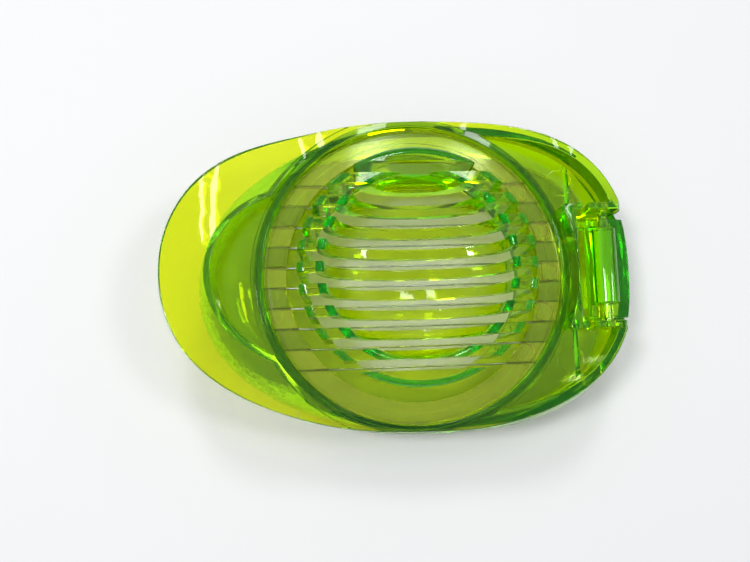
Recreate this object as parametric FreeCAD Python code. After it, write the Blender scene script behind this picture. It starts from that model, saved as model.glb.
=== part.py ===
"""Hinged egg slicer: a slotted cup on an open-bottomed base, and a wire-strung lid with a finger lip.

Millimetres, +Z up. The origin is under the middle of the closed slicer, on the surface it stands on.
+X points at the hinge, -X at the finger lip, and the wires run along X.
"""
import FreeCAD, Part
import math
import os

V = FreeCAD.Vector
UP = V(0, 0, 1)
ACROSS = V(0, 1, 0)

# Plan of the closed slicer, measured out from the ring that holds the wires
ring_outer_radius = 42.0
lip_reach = 25.1
rear_reach = 19.9
side_margin = 2.6
widest_offset = 4.0
front_fullness = 2.17
rear_fullness = 2.6
outline_points = 40

# Base shell
base_wall = 2.0
base_deck_top = 17.2
foot_front_inset = 3.4
foot_side_inset = 0.9
foot_rear_inset = 0.0
deck_front_wall = 1.85
deck_side_inset = 1.4
deck_rear_inset = 0.3
dome_levels = 6
well_depth = 2.2
well_floor_thickness = 2.0
well_gap = 0.6

# Egg cup
cup_gap = 3.9
cup_wall = 2.0
cup_foot_depth = 1.5
cup_rim_top = 32.5
cup_rim_round = 2.4
cup_rim_width = 7.2
bowl_over_wire = 1.33
bowl_fullness = 2.4
bowl_thickness = 2.2
bowl_edge_round = 1.2
bowl_points = 9

# Wires and the slots they pass through
wire_pairs = 5
wire_pitch = 5.75
wire_diameter = 0.5
wire_fit = 0.07
slot_width = 3.0
slot_sill = 0.4

# Retaining ring, with distances measured in from its outer edge
ring_width = 6.3
ring_thickness = 2.2
ring_seat_fit = 0.05
edge_groove_inset = 0.6
edge_groove_width = 0.5
edge_groove_depth = 0.5
peg_inset = 4.0
wire_end_inset = 1.8
peg_pad_gap = 0.6
peg_pad_length = 3.9
peg_pad_inset = 1.7
peg_pad_height = 0.7
ring_lug_width = 2.0
ring_lug_reach = 0.8

# Lid frame, with heights measured up from its floor
lid_gap = 0.3
floor_thickness = 2.0
wall_lean = 0.3
lip_lean_fade = 6
pocket_inset = 5.0
collar_thickness = 2.0
collar_rise = 1.1
skirt_thickness = 1.3
flange_thickness = 1.0
flange_width = 3.2
shoulder_gap = 0.2
shoulder_wall = 2.0
nose_centre_offset = 25.0
nose_half_width = 24.5
lip_depth = 12.9
lip_root_offset = 10.0
lip_thickness = 2.0
lip_rise = 9.1
lip_level = 6.5
lip_fall_end = 24.6
side_rise = 0.6
rear_rise = 7.0
rear_rise_start = 12.0
rear_rise_end = 5.3
profile_points = 25

# Hinge
hinge_inset = 8.6
hinge_rise = 3.0
knuckle_radius = 3.4
knuckle_half_length = 10.4
hinge_block_half_length = 14.2
hinge_block_rise = 2.8
hinge_block_rear_inset = 0.5
stub_diameter = 2.6
stub_fit = 0.08
notch_gap = 1.3
notch_wall = 1.9
notch_depth = 8.6
notch_front_wall = 3.4
slit_width = 2.0
ear_radius = 5.0
ear_end_fit = 0.3
swing_room = 0.7
swing_side_room = 3.5

# Moulding marks on the pocket floors
mark_radius = 3.6
mark_depth = 0.15
mark_hinge_offset = 10.4
mark_notch_offset = 8.1

# Places along the slicer
rear_end_x = (lip_reach + 2 * ring_outer_radius + rear_reach) / 2
lip_tip_x = -rear_end_x
ring_x = lip_tip_x + lip_reach + ring_outer_radius
widest_x = ring_x + widest_offset
half_width = ring_outer_radius + side_margin
hinge_x = rear_end_x - hinge_inset
notch_front_x = hinge_x - notch_depth
nose_centre_x = ring_x - nose_centre_offset
nose_reach = nose_centre_x - lip_tip_x - lip_depth
lip_root_x = ring_x - lip_root_offset

# Widths and radii
notch_half_width = hinge_block_half_length + notch_gap
notch_side = notch_half_width + notch_wall
ring_inner_radius = ring_outer_radius - ring_width
peg_circle_radius = ring_outer_radius - peg_inset
wire_end_radius = ring_outer_radius - wire_end_inset
flange_inner_radius = ring_outer_radius - flange_width
collar_inner_radius = ring_outer_radius + ring_seat_fit
collar_outer_radius = collar_inner_radius + collar_thickness
skirt_radius = collar_inner_radius + skirt_thickness
shoulder_radius = collar_outer_radius + shoulder_gap
well_radius = skirt_radius + well_gap
deck_front_inset = ring_x - well_radius - deck_front_wall - lip_tip_x
cup_radius = ring_inner_radius - cup_gap
bowl_mouth_radius = cup_radius - cup_rim_width
wire_rows = [wire_pitch * (row - (2 * wire_pairs - 1) / 2) for row in range(2 * wire_pairs)]

# Levels
lid_bottom = base_deck_top + lid_gap
floor_top = lid_bottom + floor_thickness
collar_top = floor_top + collar_rise
hinge_z = floor_top + hinge_rise
hinge_block_top = base_deck_top + hinge_block_rise
well_floor_top = base_deck_top - well_depth
flange_bottom = well_floor_top + lid_gap
flange_top = flange_bottom + flange_thickness
ring_top = flange_top + ring_thickness
slot_bottom_z = well_floor_top + slot_sill
wire_z = flange_top + wire_fit + wire_diameter / 2
bowl_bottom_z = wire_z + wire_diameter / 2 + bowl_over_wire

# Tools that cut right through end well clear of the slicer; joined pieces reach a little into each other
sky = 2 * max(cup_rim_top, floor_top + lip_rise)
span = 4 * half_width
overrun = 1.0


def rear_outline_x(y):
    share = (1 - (y / half_width) ** rear_fullness) ** (1 / rear_fullness)
    return widest_x + (rear_end_x - widest_x) * share


def rear_outline_y(x):
    along = (x - widest_x) / (rear_end_x - widest_x)
    return half_width * (1 - along ** rear_fullness) ** (1 / rear_fullness)


def oval(front_inset, side_inset, rear_inset, z, front_fade=0):
    """The slicer's rounded outline, drawn in at its ends and sides; the side inset can fade to the front."""
    front = widest_x - lip_tip_x - front_inset
    rear = rear_end_x - widest_x - rear_inset
    points = []
    for step in range(outline_points):
        turn = 2 * math.pi * step / outline_points
        across = math.sin(turn)
        along = math.cos(turn)
        fullness = rear_fullness if along > 0 else front_fullness
        fade = 1 if along > 0 else abs(across) ** front_fade
        width = half_width - side_inset * fade
        swell = (abs(along) ** fullness + abs(across) ** fullness) ** (-1 / fullness)
        x = widest_x + (rear if along > 0 else front) * along * swell
        points.append(V(x, width * across * swell, z))
    curve = Part.BSplineCurve()
    knots = [float(step) for step in range(outline_points + 1)]
    curve.interpolate(Points=points, PeriodicFlag=True, Parameters=knots)
    return Part.Wire([curve.toShape()])


def prism(wire, bottom, top):
    face = Part.Face(wire)
    face.translate(V(0, 0, bottom - wire.BoundBox.ZMin))
    return face.extrude(V(0, 0, top - bottom))


def disc(radius, bottom, top, x=ring_x):
    """An upright cylinder, with the seam of its round face turned to the side of the slicer."""
    shape = Part.makeCylinder(radius, top - bottom, V(x, 0, bottom), UP)
    return shape.rotated(V(x, 0, 0), UP, 90)


def block(x_min, x_max, y_min, y_max, z_min, z_max):
    size = (x_max - x_min, y_max - y_min, z_max - z_min)
    return Part.makeBox(*size, V(x_min, y_min, z_min))


def mirrored_pair(shape):
    return [shape, shape.mirror(V(0, 0, 0), ACROSS)]


def ellipse_prism(centre_x, reach, width, bottom, top):
    along = V(centre_x + reach, 0, bottom)
    across = V(centre_x, width, bottom)
    longest, shortest = (along, across) if reach >= width else (across, along)
    edge = Part.Ellipse(longest, shortest, V(centre_x, 0, bottom))
    return Part.Face(Part.Wire([edge.toShape()])).extrude(V(0, 0, top - bottom))


def hinge_rod(radius, y_min, y_max):
    return Part.makeCylinder(radius, y_max - y_min, V(hinge_x, y_min, hinge_z), ACROSS)


def dome_sections(inset, bottom, top):
    """Outlines stacked from the foot up: the front falls away in a quarter ellipse, the rest barely leans."""
    sections = []
    for level in range(dome_levels + 1):
        share = math.sin(0.5 * math.pi * level / dome_levels)
        drop = 1 - math.sqrt(1 - share * share)
        front = foot_front_inset + drop * (deck_front_inset - foot_front_inset) + inset
        side = foot_side_inset + drop * (deck_side_inset - foot_side_inset) + inset
        rear = foot_rear_inset + drop * (deck_rear_inset - foot_rear_inset) + inset
        sections.append(oval(front, side, rear, bottom + share * (top - bottom)))
    return sections


def bowl_curve(mouth_radius, mouth_z, bottom_z):
    """Half section of a round-bottomed bowl, from its middle out to an upright wall at the mouth."""
    points = []
    for step in range(bowl_points):
        turn = 0.5 * math.pi * step / (bowl_points - 1)
        across = math.sin(turn)
        down = math.cos(turn)
        swell = (across ** bowl_fullness + down ** bowl_fullness) ** (-1 / bowl_fullness)
        x = mouth_radius * across * swell
        z = mouth_z - (mouth_z - bottom_z) * down * swell
        points.append(V(ring_x + x, 0, z))
    curve = Part.BSplineCurve()
    curve.interpolate(points)
    return curve.toShape()


def quarter_turn(centre_x, centre_z, radius, first_turn):
    angles = [math.radians(first_turn + 45 * step) for step in range(3)]
    points = [V(centre_x + radius * math.cos(a), 0, centre_z + radius * math.sin(a)) for a in angles]
    return Part.Arc(*points).toShape()


def make_cup():
    """The egg cup as one turned shell: outer wall, rounded rim and bowl, open underneath."""
    foot_z = well_floor_top - cup_foot_depth
    mouth_z = cup_rim_top - bowl_edge_round
    under_z = cup_rim_top - cup_wall
    bowl = bowl_curve(bowl_mouth_radius, mouth_z, bowl_bottom_z)
    under = bowl_curve(bowl_mouth_radius + bowl_thickness, under_z, bowl_bottom_z - bowl_thickness)
    outer = quarter_turn(ring_x + cup_radius - cup_rim_round, cup_rim_top - cup_rim_round, cup_rim_round, 0)
    inner = quarter_turn(ring_x + bowl_mouth_radius + bowl_edge_round, mouth_z, bowl_edge_round, 90)
    corners = [
        V(ring_x, 0, bowl_bottom_z - bowl_thickness),
        V(ring_x, 0, bowl_bottom_z),
    ]
    wall = [
        V(ring_x + bowl_mouth_radius + bowl_thickness, 0, under_z),
        V(ring_x + cup_radius - cup_wall, 0, under_z),
        V(ring_x + cup_radius - cup_wall, 0, foot_z),
        V(ring_x + cup_radius, 0, foot_z),
        V(ring_x + cup_radius, 0, cup_rim_top - cup_rim_round),
    ]
    land = Part.LineSegment(V(outer.Vertexes[-1].Point), V(inner.Vertexes[0].Point)).toShape()
    straight = [Part.LineSegment(a, b).toShape() for a, b in zip(wall, wall[1:])]
    middle = Part.LineSegment(corners[0], corners[1]).toShape()
    edges = Part.sortEdges([bowl, inner, land, outer] + straight + [under, middle])[0]
    return Part.Face(Part.Wire(edges)).revolve(V(ring_x, 0, 0), UP, 360)


def make_slots():
    """One slot per strand, down to a low sill over the ring well's floor, so that the ribs stand apart."""
    reach = cup_radius + well_gap
    return [
        block(ring_x - reach, ring_x + reach, y - slot_width / 2, y + slot_width / 2, slot_bottom_z, sky)
        for y in wire_rows
    ]


def make_base():
    outside = Part.makeLoft(dome_sections(0, 0, base_deck_top), True, False)
    inside = Part.makeLoft(dome_sections(base_wall, -overrun, base_deck_top - base_wall), True, False)
    well_floor_bottom = well_floor_top - well_floor_thickness
    swing_radius = math.hypot(rear_outline_x(notch_side) - hinge_x, hinge_z - lid_bottom) + swing_room
    swing_start = notch_half_width - ear_end_fit
    swing_end = rear_outline_y(hinge_x) + swing_side_room
    trough = hinge_rod(swing_radius, swing_start, swing_end)
    trough_shell = hinge_rod(swing_radius + base_wall, swing_start - base_wall, swing_end + base_wall)
    inside = inside.cut(disc(well_radius + base_wall, well_floor_bottom, sky))
    inside = inside.cut(mirrored_pair(trough_shell))
    shell = outside.cut(inside)
    shell = shell.cut(disc(cup_radius - cup_wall / 2, -overrun, sky))
    shell = shell.cut(disc(well_radius, well_floor_top, sky))
    shell = shell.cut(mirrored_pair(trough))
    post = block(
        hinge_x - knuckle_radius, hinge_x + knuckle_radius,
        -knuckle_half_length, knuckle_half_length,
        base_deck_top - base_wall / 2, hinge_z,
    )
    plinth = prism(oval(0, 0, hinge_block_rear_inset, 0), base_deck_top - base_wall / 2, hinge_block_top)
    plinth = plinth.common(block(
        hinge_x - knuckle_radius, rear_end_x,
        -hinge_block_half_length, hinge_block_half_length,
        0, sky,
    ))
    stub_reach = notch_side - ear_end_fit
    additions = [
        make_cup().cut(make_slots()),
        plinth,
        post,
        hinge_rod(knuckle_radius, -knuckle_half_length, knuckle_half_length),
        hinge_rod(stub_diameter / 2, -stub_reach, stub_reach),
    ]
    for piece in additions:
        shell = shell.fuse(piece)
    return shell


def ease(x, start, end):
    """A smooth step from 0 at the start to 1 at the end."""
    share = min(max((x - start) / (end - start), 0), 1)
    return share * share * (3 - 2 * share)


def lid_top_profile(z_offset):
    """Side view of the lid's upper edge: high at the lip, low beside the ring, high again at the hinge."""
    first_x = lip_tip_x - base_wall
    last_x = rear_end_x + base_wall
    points = []
    for step in range(profile_points):
        x = first_x + (last_x - first_x) * step / (profile_points - 1)
        to_lip = ease(x, ring_x - lip_fall_end, lip_tip_x + lip_level)
        to_rear = ease(x, ring_x + rear_rise_start, hinge_x - rear_rise_end)
        rise = side_rise + (lip_rise - side_rise) * to_lip + (rear_rise - side_rise) * to_rear
        points.append(V(x, -span / 2, floor_top + rise + z_offset))
    curve = Part.BSplineCurve()
    curve.interpolate(points)
    return curve.toShape()


def under_top_profile(z_offset, bottom):
    """Everything between a level and the lid's upper edge line."""
    top = lid_top_profile(z_offset)
    first = top.Vertexes[0].Point
    last = top.Vertexes[-1].Point
    low_first = V(first.x, first.y, bottom)
    low_last = V(last.x, last.y, bottom)
    sides = [
        Part.LineSegment(last, low_last).toShape(),
        Part.LineSegment(low_last, low_first).toShape(),
        Part.LineSegment(low_first, first).toShape(),
    ]
    return Part.Face(Part.Wire([top] + sides)).extrude(V(0, span, 0))


def make_lid():
    top_inset = wall_lean * (sky - lid_bottom)
    low = oval(0, 0, 0, lid_bottom)
    high = oval(0, top_inset, top_inset, sky, lip_lean_fade)
    leaning = Part.makeLoft([low, high], True, True)
    nose_outer_reach = nose_reach + shoulder_wall
    nose_outer_width = nose_half_width + shoulder_wall
    body_plan = disc(shoulder_radius + shoulder_wall, lid_bottom, sky).fuse([
        ellipse_prism(nose_centre_x, nose_outer_reach, nose_outer_width, lid_bottom, sky),
        block(lip_root_x, rear_end_x + overrun, -span / 2, span / 2, lid_bottom, sky),
    ])
    body = leaning.common(body_plan).common(under_top_profile(0, 0))
    lip = leaning.common(block(lip_tip_x - overrun, lip_root_x, -span, span, 0, sky))
    lip = lip.common(under_top_profile(0, 0)).cut(under_top_profile(-lip_thickness, 0))
    lid = body.fuse(lip)

    lid = lid.cut(disc(shoulder_radius, collar_top, sky))
    nose = ellipse_prism(nose_centre_x, nose_reach, nose_half_width, floor_top, sky)
    pocket = prism(oval(pocket_inset, pocket_inset, pocket_inset, 0), floor_top, sky)
    pocket = pocket.common(block(ring_x, rear_end_x, -span, span, 0, sky))
    notch_outside_x = notch_front_x - notch_front_wall
    pocket = pocket.cut(block(notch_outside_x, rear_end_x, -notch_side, notch_side, 0, sky))
    collar = disc(collar_outer_radius, flange_bottom, sky)
    lid = lid.cut([nose.cut(collar), pocket.cut(collar)])

    skirt = disc(skirt_radius, flange_bottom, floor_top)
    collar_ring = disc(collar_outer_radius, lid_bottom, collar_top).common(leaning)
    lid = lid.fuse([skirt, collar_ring])
    lid = lid.cut([disc(flange_inner_radius, 0, sky), disc(collar_inner_radius, flange_top, sky)])

    notch = block(notch_front_x, rear_end_x + overrun, -notch_half_width, notch_half_width, 0, sky)
    slit_x = hinge_x - ear_radius - slit_width
    slit = block(slit_x, slit_x + slit_width, notch_half_width - overrun, notch_side, floor_top, sky)
    bore = hinge_rod(stub_diameter / 2 + stub_fit, -span, span)
    lug_half = ring_lug_width / 2 + ring_seat_fit
    lug_reach = collar_inner_radius + ring_lug_reach
    lug_seat = block(ring_x - lug_half, ring_x + lug_half, -lug_reach, lug_reach, flange_top, ring_top)
    mark = disc(mark_radius, floor_top - mark_depth, floor_top, hinge_x - mark_hinge_offset)
    mark.translate(V(0, notch_side + mark_notch_offset, 0))
    ear_back = block(hinge_x, rear_end_x + overrun, notch_half_width - overrun, notch_side, 0, sky)
    ear_back = ear_back.cut(hinge_rod(ear_radius, -span, span))
    cuts = [notch, bore.common(block(0, rear_end_x, -notch_side, notch_side, 0, sky)), lug_seat]
    cuts += mirrored_pair(slit) + mirrored_pair(mark) + mirrored_pair(ear_back)
    return lid.cut(cuts).removeSplitter()


def peg_x(y):
    return math.sqrt(peg_circle_radius ** 2 - y ** 2)


def wire_path(pair):
    """One hairpin: two straight strands joined by a half turn round a peg."""
    y_low = wire_rows[2 * pair]
    y_high = wire_rows[2 * pair + 1]
    middle = (y_low + y_high) / 2
    turn_x = ring_x + peg_x(middle)
    end_x = ring_x - math.sqrt(wire_end_radius ** 2 - max(abs(y_low), abs(y_high)) ** 2)
    low_end = V(end_x, y_low, wire_z)
    high_end = V(end_x, y_high, wire_z)
    low_turn = V(turn_x, y_low, wire_z)
    high_turn = V(turn_x, y_high, wire_z)
    apex = V(turn_x + wire_pitch / 2, middle, wire_z)
    return [
        Part.LineSegment(low_end, low_turn).toShape(),
        Part.Arc(low_turn, apex, high_turn).toShape(),
        Part.LineSegment(high_turn, high_end).toShape(),
    ]


def make_wire(pair):
    edges = wire_path(pair)
    start = edges[0].Vertexes[0].Point
    section = Part.Wire([Part.makeCircle(wire_diameter / 2, start, V(1, 0, 0))])
    return Part.Wire(edges).makePipeShell([section], True, True)


def wire_groove(pair):
    """The channel in the ring's underside that one hairpin lies in."""
    straight, turn, _ = wire_path(pair)
    half = wire_diameter / 2 + wire_fit
    bottom = flange_top - overrun
    top = flange_top + 2 * half
    start = straight.Vertexes[0].Point
    end = straight.Vertexes[-1].Point
    middle = start.y + wire_pitch / 2
    outer = Part.makeCylinder(wire_pitch / 2 + half, top - bottom, V(end.x, middle, bottom), UP, 360)
    inner = Part.makeCylinder(wire_pitch / 2 - half, top - bottom, V(end.x, middle, bottom), UP, 360)
    bend = outer.cut(inner).common(block(end.x, rear_end_x, -span, span, bottom, top))
    strand = block(start.x - half, end.x, start.y - half, start.y + half, bottom, top)
    other = strand.copy()
    other.translate(V(0, wire_pitch, 0))
    return bend.fuse([strand, other])


def peg_pad(x_side, y):
    """A raised block on the ring, between the strands that turn round it."""
    angle = math.asin(y / peg_circle_radius)
    turned = math.degrees(angle if x_side > 0 else math.pi - angle)
    pad_end = ring_outer_radius - peg_pad_inset
    pad_width = (wire_pitch - peg_pad_gap) / math.cos(angle)
    pad = block(
        pad_end - peg_pad_length, pad_end,
        -pad_width / 2, pad_width / 2,
        ring_top - ring_thickness / 2, ring_top + peg_pad_height,
    )
    pad.rotate(V(0, 0, 0), UP, turned)
    pad.translate(V(ring_x, 0, 0))
    return pad


def make_ring():
    ring = disc(ring_outer_radius, flange_top, ring_top).cut(disc(ring_inner_radius, flange_top, ring_top))
    groove_radius = ring_outer_radius - edge_groove_inset
    groove_bottom = ring_top - edge_groove_depth
    groove = disc(groove_radius, groove_bottom, ring_top)
    groove = groove.cut(disc(groove_radius - edge_groove_width, groove_bottom, ring_top))
    ring = ring.cut(groove)
    lug_reach = ring_outer_radius + ring_lug_reach
    lug_half = ring_lug_width / 2
    lug_root = ring_outer_radius - overrun
    lug = block(ring_x - lug_half, ring_x + lug_half, lug_root, lug_reach, flange_top, ring_top)
    pads = []
    for row in range(2 * wire_pairs - 1):
        side = 1 if row % 2 == 0 else -1
        pads.append(peg_pad(side, (wire_rows[row] + wire_rows[row + 1]) / 2))
    ring = ring.fuse(mirrored_pair(lug) + pads)
    return ring.cut([wire_groove(pair) for pair in range(wire_pairs)]).removeSplitter()


def main():
    os.makedirs("parts", exist_ok=True)
    parts = {"base_body": make_base(), "lid_frame": make_lid(), "wire_ring": make_ring()}
    for pair in range(wire_pairs):
        parts[f"cutting_wire_{pair + 1}"] = make_wire(pair)
    for name, shape in parts.items():
        box = shape.optimalBoundingBox()
        print(name, len(shape.Solids), "solid", shape.isValid(), round(shape.Volume, 1), box)
        shape.exportStep(f"parts/{name}.step")


main()
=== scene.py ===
"""Looks of the hinged egg slicer: clear lime mouldings, a yellow ring and steel wires on a pale table."""
import bmesh
import bpy
import math
from mathutils import Matrix, Vector


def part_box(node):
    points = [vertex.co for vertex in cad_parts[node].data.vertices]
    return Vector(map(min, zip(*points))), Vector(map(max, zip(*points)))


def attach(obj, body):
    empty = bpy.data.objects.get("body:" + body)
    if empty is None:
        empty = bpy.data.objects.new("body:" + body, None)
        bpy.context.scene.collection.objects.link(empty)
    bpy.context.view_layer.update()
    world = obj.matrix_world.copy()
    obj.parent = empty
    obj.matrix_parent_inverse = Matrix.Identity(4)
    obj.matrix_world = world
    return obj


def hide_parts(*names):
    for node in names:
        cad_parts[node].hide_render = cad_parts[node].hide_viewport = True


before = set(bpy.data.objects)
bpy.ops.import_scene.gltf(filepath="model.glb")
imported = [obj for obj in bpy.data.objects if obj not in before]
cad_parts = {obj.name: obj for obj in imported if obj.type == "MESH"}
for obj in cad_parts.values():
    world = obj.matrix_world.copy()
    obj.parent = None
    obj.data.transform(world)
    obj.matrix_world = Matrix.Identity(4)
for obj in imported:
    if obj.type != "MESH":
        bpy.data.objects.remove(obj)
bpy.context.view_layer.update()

MM = 0.001

# The photograph's view: close above the slicer, cropped off its optical centre, with turns in degrees
PHOTO_WIDTH = 750
PHOTO_HEIGHT = 562
FOCAL_PIXELS = 590
OPTICAL_CENTRE = (399, 340)
SENSOR_WIDTH = 36.0
EYE = Vector((-14.8, -32.6, 181.2)) * MM
EYE_PITCH = -4.99
EYE_ROLL = 4.30
EYE_SPIN = 2.29
NEAREST_SEEN = 10 * MM

# Clear plastics: each colour is absorbed, per metre, at the density times one minus its pass
PLASTIC_IOR = 1.51
UNTINTED = (1.0, 1.0, 1.0)
LIME_DENSITY = 2400.0
LID_PASS = (0.9683, 0.9930, 0.0)
BASE_PASS = (0.9540, 0.9930, 0.0)
LIME_HAZE = 0.05
LIME_WAVE_SIZE = 14 * MM
YELLOW_DENSITY = 700.0
YELLOW_PASS = (0.93, 0.96, 0.0)
YELLOW_MILK = (0.97, 1.0, 0.14)
YELLOW_CLARITY = 0.85
YELLOW_HAZE = 0.25
YELLOW_WAVE_SIZE = 9 * MM

# The plastics' skin: shallow flow waves, and patches of polishing haze
WAVE_HEIGHT = 0.01 * MM
WAVE_STRENGTH = 0.3
WAVE_DETAIL = 1.0
HAZE_PATCHES = {"Scale": 90.0, "Detail": 4.0, "Roughness": 0.6}

# The lid's painted shade, for the dark that light takes in its deep walls: steep walls take a share that
# fades as they lean, and the collar takes all of it
PAINTED_WALL_SHADE = (0.34, 0.54, 0.42)
WALL_SHADE_SHARE = 0.5
WALL_FACING = (0.2, 0.5)
COLLAR_MIDDLE_RADIUS = 43.2 * MM
COLLAR_THICKNESS = 2.4 * MM

# The ring's painted shade for the pads and grooves under it: olive tiles between bright ones, and the share
# of each pair that its two dark joints take
OLIVE_TILE_SHADE = (0.70, 0.80, 0.10)
TILE_JOINT_SHADE = (0.36, 0.42, 0.08)
TILE_JOINT_SHARE = 0.08

# Drawn wire: the scale of its lines along and across the strands, their tones and their roughness
WIRE_LINES = (60, 9000, 9000)
WIRE_LINE_DETAIL = 2.0
WIRE_TONES = ((0.42, 0.43, 0.42), (0.62, 0.63, 0.62))
WIRE_ROUGHNESS = (0.18, 0.34)

# Corners: sharper than the rounded angle they are rounded, and under the crease angle shading runs over them
MERGE_DISTANCE = 0.002 * MM
FLAT_ANGLE = math.radians(0.05)
ROUNDED_ANGLE = math.radians(40)
CREASE_ANGLE = math.radians(36)
EDGE_SEGMENTS = 3
BASE_EDGE_RADIUS = 0.15 * MM
LID_EDGE_RADIUS = 0.30 * MM
RING_EDGE_RADIUS = 0.20 * MM
RING_SEAT_GAP = 0.02 * MM

# Where corners are rounded: within this distance of the long axis, and above this height
EVERYWHERE = (1.0, 0.0)
RIBS_AND_KNUCKLE = (24.0 * MM, 17.6 * MM)

# The pale table
TABLE_TONES = ((0.90, 0.905, 0.91), (0.925, 0.928, 0.93))
TABLE_MOTTLE = {"Scale": 14.0, "Detail": 3.0}
TABLE_ROUGHNESS = 0.6
TABLE_GLOSS = 0.2
TABLE_RADIUS = 3.0
TABLE_SIDES = 96
TABLE_DROP = 0.2 * MM

# The room by height, from the horizon to overhead: grey walls, a dim band, a lit band and a darker ceiling
ROOM_TONES = (
    (0.0, (0.40, 0.41, 0.42)),
    (0.15, (0.36, 0.37, 0.38)),
    (0.22, (0.10, 0.10, 0.11)),
    (0.42, (0.10, 0.10, 0.11)),
    (0.58, (0.54, 0.55, 0.56)),
    (0.80, (0.54, 0.55, 0.56)),
    (0.92, (0.29, 0.30, 0.31)),
    (1.0, (0.29, 0.30, 0.31)),
)

# Softboxes, all turned to the slicer: name, place and size in metres, and power in watts
SOFTBOXES = (
    ("high_left", (-0.63, 0.10, 1.08), (0.24, 0.24), 5.8),
    ("high_right", (0.72, 0.10, 0.98), (0.20, 0.20), 2.0),
    ("high_rear", (-0.05, 0.90, 0.98), (0.26, 0.26), 3.4),
    ("overhead_tube_left", (0.03, 0.44, 1.11), (0.06, 0.30), 0.5),
    ("overhead_tube_right", (0.23, 0.44, 1.11), (0.06, 0.30), 0.5),
)
LIGHT_BOUNCES = 32


def new_material(name):
    """A material with its plain shader, and its nodes and links."""
    material = bpy.data.materials.new(name)
    material.use_nodes = True
    return material, material.node_tree.nodes, material.node_tree.links


def add_node(nodes, kind, **settings):
    """A shader node with its sockets, or else its own settings, given by name."""
    node = nodes.new(kind)
    for key, value in settings.items():
        if key in node.inputs:
            node.inputs[key].default_value = value
        else:
            setattr(node, key, value)
    return node


def grain(material, **settings):
    """Noise that stays in place on the piece."""
    nodes, links = material.node_tree.nodes, material.node_tree.links
    place = nodes.new("ShaderNodeTexCoord")
    noise = add_node(nodes, "ShaderNodeTexNoise", **settings)
    links.new(place.outputs["Object"], noise.inputs["Vector"])
    return noise.outputs["Fac"]


def colour_by(material, share, tones):
    """Moves the finish from the first tone to the second as a share goes from 0 to 1."""
    nodes, links = material.node_tree.nodes, material.node_tree.links
    tone = nodes.new("ShaderNodeValToRGB")
    for stop, colour in zip(tone.color_ramp.elements, tones):
        stop.color = (*colour, 1)
    links.new(share, tone.inputs["Fac"])
    links.new(tone.outputs["Color"], nodes["Principled BSDF"].inputs["Base Color"])


def roughen_by(material, share, least, most):
    """Moves the finish from the least to the most roughness as a share goes from 0 to 1."""
    nodes, links = material.node_tree.nodes, material.node_tree.links
    rough = add_node(nodes, "ShaderNodeMapRange", **{"To Min": least, "To Max": most})
    links.new(share, rough.inputs["Value"])
    links.new(rough.outputs["Result"], nodes["Principled BSDF"].inputs["Roughness"])


def clear_plastic(name, pass_colour, density, wave_size, haze_most, milk=UNTINTED, clarity=1.0):
    """Polished clear moulding: tint from its depth, with faint flow waves and polishing haze on its skin."""
    material, nodes, links = new_material(name)
    shader = nodes["Principled BSDF"]
    shader.inputs["Base Color"].default_value = (*milk, 1)
    shader.inputs["Transmission Weight"].default_value = clarity
    shader.inputs["IOR"].default_value = PLASTIC_IOR
    depth = add_node(nodes, "ShaderNodeVolumeAbsorption", Color=(*pass_colour, 1), Density=density)
    links.new(depth.outputs["Volume"], nodes["Material Output"].inputs["Volume"])
    roughen_by(material, grain(material, **HAZE_PATCHES), 0.0, haze_most)
    waves = add_node(nodes, "ShaderNodeBump", Strength=WAVE_STRENGTH, Distance=WAVE_HEIGHT)
    links.new(grain(material, Scale=1 / wave_size, Detail=WAVE_DETAIL), waves.inputs["Height"])
    links.new(waves.outputs["Normal"], shader.inputs["Normal"])
    return material


def paint_lid_wall_shade(material):
    """Paints shade on steep walls and the collar, darker than the thin panels, where light through deep
    sections of the moulding comes out dark.
    """
    nodes, links = material.node_tree.nodes, material.node_tree.links
    place = nodes.new("ShaderNodeTexCoord")
    facing = nodes.new("ShaderNodeSeparateXYZ")
    links.new(place.outputs["Normal"], facing.inputs["Vector"])
    lean = add_node(nodes, "ShaderNodeMath", operation="ABSOLUTE")
    links.new(facing.outputs["Z"], lean.inputs[0])
    steep = add_node(nodes, "ShaderNodeMapRange", **{"To Min": WALL_SHADE_SHARE, "To Max": 0.0})
    steep.inputs["From Min"].default_value = WALL_FACING[0]
    steep.inputs["From Max"].default_value = WALL_FACING[1]
    links.new(lean.outputs["Value"], steep.inputs["Value"])

    ring_low, ring_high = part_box("wire_ring")
    level = add_node(nodes, "ShaderNodeVectorMath", operation="MULTIPLY")
    level.inputs[1].default_value = (1, 1, 0)
    links.new(place.outputs["Object"], level.inputs[0])
    radius = add_node(nodes, "ShaderNodeVectorMath", operation="DISTANCE")
    radius.inputs[1].default_value = ((ring_low.x + ring_high.x) / 2, 0, 0)
    links.new(level.outputs["Vector"], radius.inputs[0])
    collar = add_node(nodes, "ShaderNodeMath", operation="COMPARE")
    collar.inputs[1].default_value = COLLAR_MIDDLE_RADIUS
    collar.inputs[2].default_value = COLLAR_THICKNESS / 2
    links.new(radius.outputs["Value"], collar.inputs[0])

    # Painted shade: the steep walls' share or the whole collar, whichever is more
    dark = add_node(nodes, "ShaderNodeMath", operation="MAXIMUM")
    links.new(steep.outputs["Result"], dark.inputs[0])
    links.new(collar.outputs["Value"], dark.inputs[1])
    colour_by(material, dark.outputs["Value"], (UNTINTED, PAINTED_WALL_SHADE))


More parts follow.
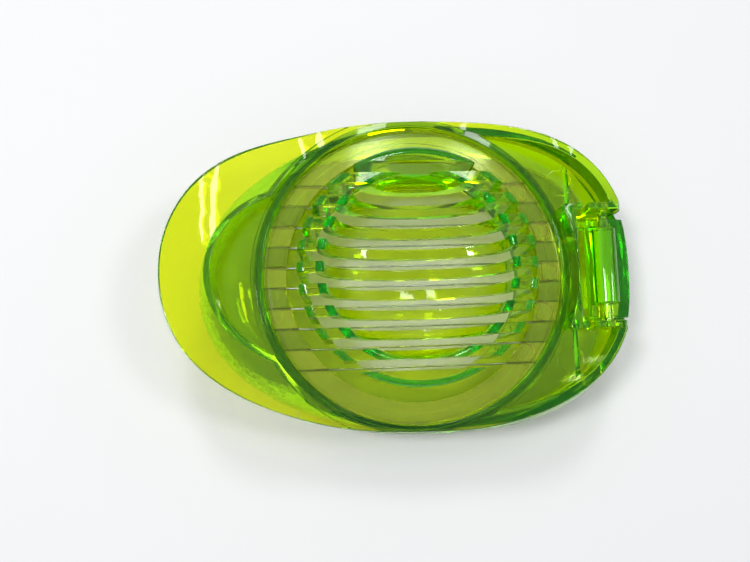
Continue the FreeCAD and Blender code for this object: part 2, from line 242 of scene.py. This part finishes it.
def paint_ring_tile_shade(material):
    """Paints shade for the pads and grooves of the wire rows on the ring: bright tiles, olive shaded tiles
    and dark joints.
    """
    nodes, links = material.node_tree.nodes, material.node_tree.links
    low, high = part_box("cutting_wire_3")
    wire_thickness = high.z - low.z
    row_pitch = (high.y - low.y) - wire_thickness
    outer_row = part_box("cutting_wire_5")[1].y
    half_tile = (1 - TILE_JOINT_SHARE) / 4
    place = nodes.new("ShaderNodeTexCoord")
    spot = nodes.new("ShaderNodeSeparateXYZ")
    links.new(place.outputs["Object"], spot.inputs["Vector"])
    pairs = add_node(nodes, "ShaderNodeMath", operation="MULTIPLY_ADD")
    pairs.inputs[1].default_value = 1 / (2 * row_pitch)
    pairs.inputs[2].default_value = half_tile
    links.new(spot.outputs["Y"], pairs.inputs[0])
    share = add_node(nodes, "ShaderNodeMath", operation="FRACT")
    links.new(pairs.outputs["Value"], share.inputs[0])
    rows = add_node(nodes, "ShaderNodeMath", operation="COMPARE")
    rows.inputs[1].default_value = 0.0
    rows.inputs[2].default_value = outer_row
    links.new(spot.outputs["Y"], rows.inputs[0])
    tiled = add_node(nodes, "ShaderNodeMath", operation="MULTIPLY")
    links.new(share.outputs["Value"], tiled.inputs[0])
    links.new(rows.outputs["Value"], tiled.inputs[1])

    # Painted shade: olive tiles and dark joints between the bright milk-coloured tiles
    tiles = nodes.new("ShaderNodeValToRGB")
    tiles.color_ramp.interpolation = "CONSTANT"
    stops = tiles.color_ramp.elements
    stops[0].color = (*YELLOW_MILK, 1)
    stops[1].position = 1 - TILE_JOINT_SHARE / 2
    stops[1].color = (*TILE_JOINT_SHADE, 1)
    stops.new(0.5 - TILE_JOINT_SHARE / 2).color = (*TILE_JOINT_SHADE, 1)
    stops.new(0.5).color = (*OLIVE_TILE_SHADE, 1)
    links.new(tiled.outputs["Value"], tiles.inputs["Fac"])
    links.new(tiles.outputs["Color"], nodes["Principled BSDF"].inputs["Base Color"])


def drawn_wire():
    """Bright drawn stainless wire with fine lengthwise lines."""
    material, nodes, links = new_material("bright_drawn_wire")
    nodes["Principled BSDF"].inputs["Metallic"].default_value = 1.0
    place = nodes.new("ShaderNodeTexCoord")
    stretch = add_node(nodes, "ShaderNodeMapping", Scale=WIRE_LINES)
    lines = add_node(nodes, "ShaderNodeTexNoise", Scale=1.0, Detail=WIRE_LINE_DETAIL)
    links.new(place.outputs["Object"], stretch.inputs["Vector"])
    links.new(stretch.outputs["Vector"], lines.inputs["Vector"])
    colour_by(material, lines.outputs["Fac"], WIRE_TONES)
    roughen_by(material, lines.outputs["Fac"], *WIRE_ROUGHNESS)
    return material


def table_top():
    """Pale matt table with a barely visible mottle."""
    material, nodes, _ = new_material("pale_table")
    shader = nodes["Principled BSDF"]
    shader.inputs["Roughness"].default_value = TABLE_ROUGHNESS
    shader.inputs["Specular IOR Level"].default_value = TABLE_GLOSS
    colour_by(material, grain(material, **TABLE_MOTTLE), TABLE_TONES)
    return material


def round_corners(shape, radius, half_width, lowest):
    """Takes the sharpness off the outside corners within a width and above a height, as on a moulding."""
    bmesh.ops.dissolve_limit(shape, angle_limit=FLAT_ANGLE, verts=shape.verts, edges=shape.edges)
    corners = [
        edge for edge in shape.edges
        if edge.is_manifold and edge.is_convex and edge.calc_face_angle() > ROUNDED_ANGLE
        and all(corner.co.z > lowest and abs(corner.co.y) < half_width for corner in edge.verts)
    ]
    bmesh.ops.bevel(
        shape, geom=corners, offset=radius, offset_type="OFFSET", segments=EDGE_SEGMENTS, profile=0.5,
        affect="EDGES", material=-1, clamp_overlap=False,
    )


def skin(node, name, body, material, edge_radius=0.0, rounded=EVERYWHERE, seat_gap=0.0):
    """A smooth copy of a piece, rounded where it has an edge radius, which stands for its plain solid."""
    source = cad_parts[node]
    mesh = bpy.data.meshes.new(name)
    shape = bmesh.new()
    shape.from_mesh(source.data)
    bmesh.ops.remove_doubles(shape, verts=shape.verts, dist=MERGE_DISTANCE)
    bmesh.ops.dissolve_degenerate(shape, edges=shape.edges, dist=MERGE_DISTANCE)
    if edge_radius:
        round_corners(shape, edge_radius, *rounded)
    shape.normal_update()
    for corner in shape.verts:
        corner.co -= corner.normal * seat_gap
    shape.to_mesh(mesh)
    shape.free()

    # The solid's own shading doesn't fit the new faces
    mesh.attributes.remove(mesh.attributes["custom_normal"])
    mesh.polygons.foreach_set("use_smooth", [True] * len(mesh.polygons))
    mesh.set_sharp_from_angle(angle=CREASE_ANGLE)
    mesh.materials.append(material)
    piece = bpy.data.objects.new(name, mesh)
    bpy.context.scene.collection.objects.link(piece)
    shading = piece.modifiers.new("even_shading", "WEIGHTED_NORMAL")
    shading.keep_sharp = True
    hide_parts(node)
    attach(piece, body)


def add_camera():
    """A camera where the photograph was taken from, with its framing."""
    data = bpy.data.cameras.new("photo_view")
    data.sensor_width = SENSOR_WIDTH
    data.lens = SENSOR_WIDTH * FOCAL_PIXELS / PHOTO_WIDTH
    data.shift_x = (PHOTO_WIDTH / 2 - OPTICAL_CENTRE[0]) / PHOTO_WIDTH
    data.shift_y = (OPTICAL_CENTRE[1] - PHOTO_HEIGHT / 2) / PHOTO_WIDTH
    data.clip_start = NEAREST_SEEN
    camera = bpy.data.objects.new("photo_view", data)
    bpy.context.scene.collection.objects.link(camera)
    pitch = Matrix.Rotation(math.radians(EYE_PITCH), 3, "X")
    roll = Matrix.Rotation(math.radians(EYE_ROLL), 3, "Y")
    spin = Matrix.Rotation(math.radians(EYE_SPIN), 3, "Z")
    world_to_eye = spin @ pitch @ roll
    camera.matrix_world = Matrix.Translation(EYE) @ world_to_eye.transposed().to_4x4()
    bpy.context.scene.camera = camera


def add_table():
    """A wide round table top, just under the slicer's foot."""
    mesh = bpy.data.meshes.new("table")
    shape = bmesh.new()
    bmesh.ops.create_circle(shape, cap_ends=True, segments=TABLE_SIDES, radius=TABLE_RADIUS)
    shape.to_mesh(mesh)
    shape.free()
    mesh.transform(Matrix.Translation((0, 0, -TABLE_DROP)))
    mesh.materials.append(table_top())
    table = bpy.data.objects.new("table", mesh)
    bpy.context.scene.collection.objects.link(table)


def add_softbox(name, place, size, power):
    """A soft rectangular lamp that is turned to the middle of the slicer's foot."""
    data = bpy.data.lights.new(name, "AREA")
    data.shape = "RECTANGLE"
    data.size, data.size_y = size
    data.energy = power
    lamp = bpy.data.objects.new(name, data)
    lamp.location = place
    lamp.rotation_euler = (-Vector(place)).to_track_quat("-Z", "Y").to_euler()
    bpy.context.scene.collection.objects.link(lamp)


def add_room():
    """Plain room light in bands of height, which the clear plastic mirrors and bends."""
    world = bpy.data.worlds.new("pale_room")
    bpy.context.scene.world = world
    world.use_nodes = True
    nodes, links = world.node_tree.nodes, world.node_tree.links
    place = nodes.new("ShaderNodeTexCoord")
    height = nodes.new("ShaderNodeSeparateXYZ")
    links.new(place.outputs["Generated"], height.inputs["Vector"])
    tone = nodes.new("ShaderNodeValToRGB")
    stops = tone.color_ramp.elements
    stops[0].color = (*ROOM_TONES[0][1], 1)
    stops[1].color = (*ROOM_TONES[-1][1], 1)
    for height_share, colour in ROOM_TONES[1:-1]:
        stops.new(height_share).color = (*colour, 1)
    links.new(height.outputs["Z"], tone.inputs["Fac"])
    links.new(tone.outputs["Color"], nodes["Background"].inputs["Color"])


def set_stage():
    """Camera, table, room and lamps, with enough bounces for light to pass through all the clear walls."""
    add_camera()
    add_table()
    add_room()
    for softbox in SOFTBOXES:
        add_softbox(*softbox)
    bpy.context.scene.view_settings.view_transform = "Standard"
    paths = bpy.context.scene.cycles
    paths.max_bounces = LIGHT_BOUNCES
    paths.glossy_bounces = LIGHT_BOUNCES
    paths.transmission_bounces = LIGHT_BOUNCES


def build_slicer():
    """The base, the lid, its ring and the wires, each in its own finish."""
    base_lime = clear_plastic("clear_lime_base_plastic", BASE_PASS, LIME_DENSITY, LIME_WAVE_SIZE, LIME_HAZE)
    skin(
        "base_body", "base_moulding", "base", base_lime,
        edge_radius=BASE_EDGE_RADIUS, rounded=RIBS_AND_KNUCKLE,
    )
    lid_lime = clear_plastic("clear_lime_lid_plastic", LID_PASS, LIME_DENSITY, LIME_WAVE_SIZE, LIME_HAZE)
    paint_lid_wall_shade(lid_lime)
    skin("lid_frame", "lid_moulding", "lid", lid_lime, edge_radius=LID_EDGE_RADIUS)
    yellow = clear_plastic(
        "clear_yellow_plastic", YELLOW_PASS, YELLOW_DENSITY, YELLOW_WAVE_SIZE, YELLOW_HAZE,
        milk=YELLOW_MILK, clarity=YELLOW_CLARITY,
    )
    paint_ring_tile_shade(yellow)
    skin(
        "wire_ring", "ring_moulding", "lid", yellow,
        edge_radius=RING_EDGE_RADIUS, seat_gap=RING_SEAT_GAP,
    )
    steel = drawn_wire()
    for node in sorted(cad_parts):
        if node.startswith("cutting_wire"):
            skin(node, node.replace("cutting_wire", "steel_wire"), "lid", steel)


build_slicer()
set_stage()
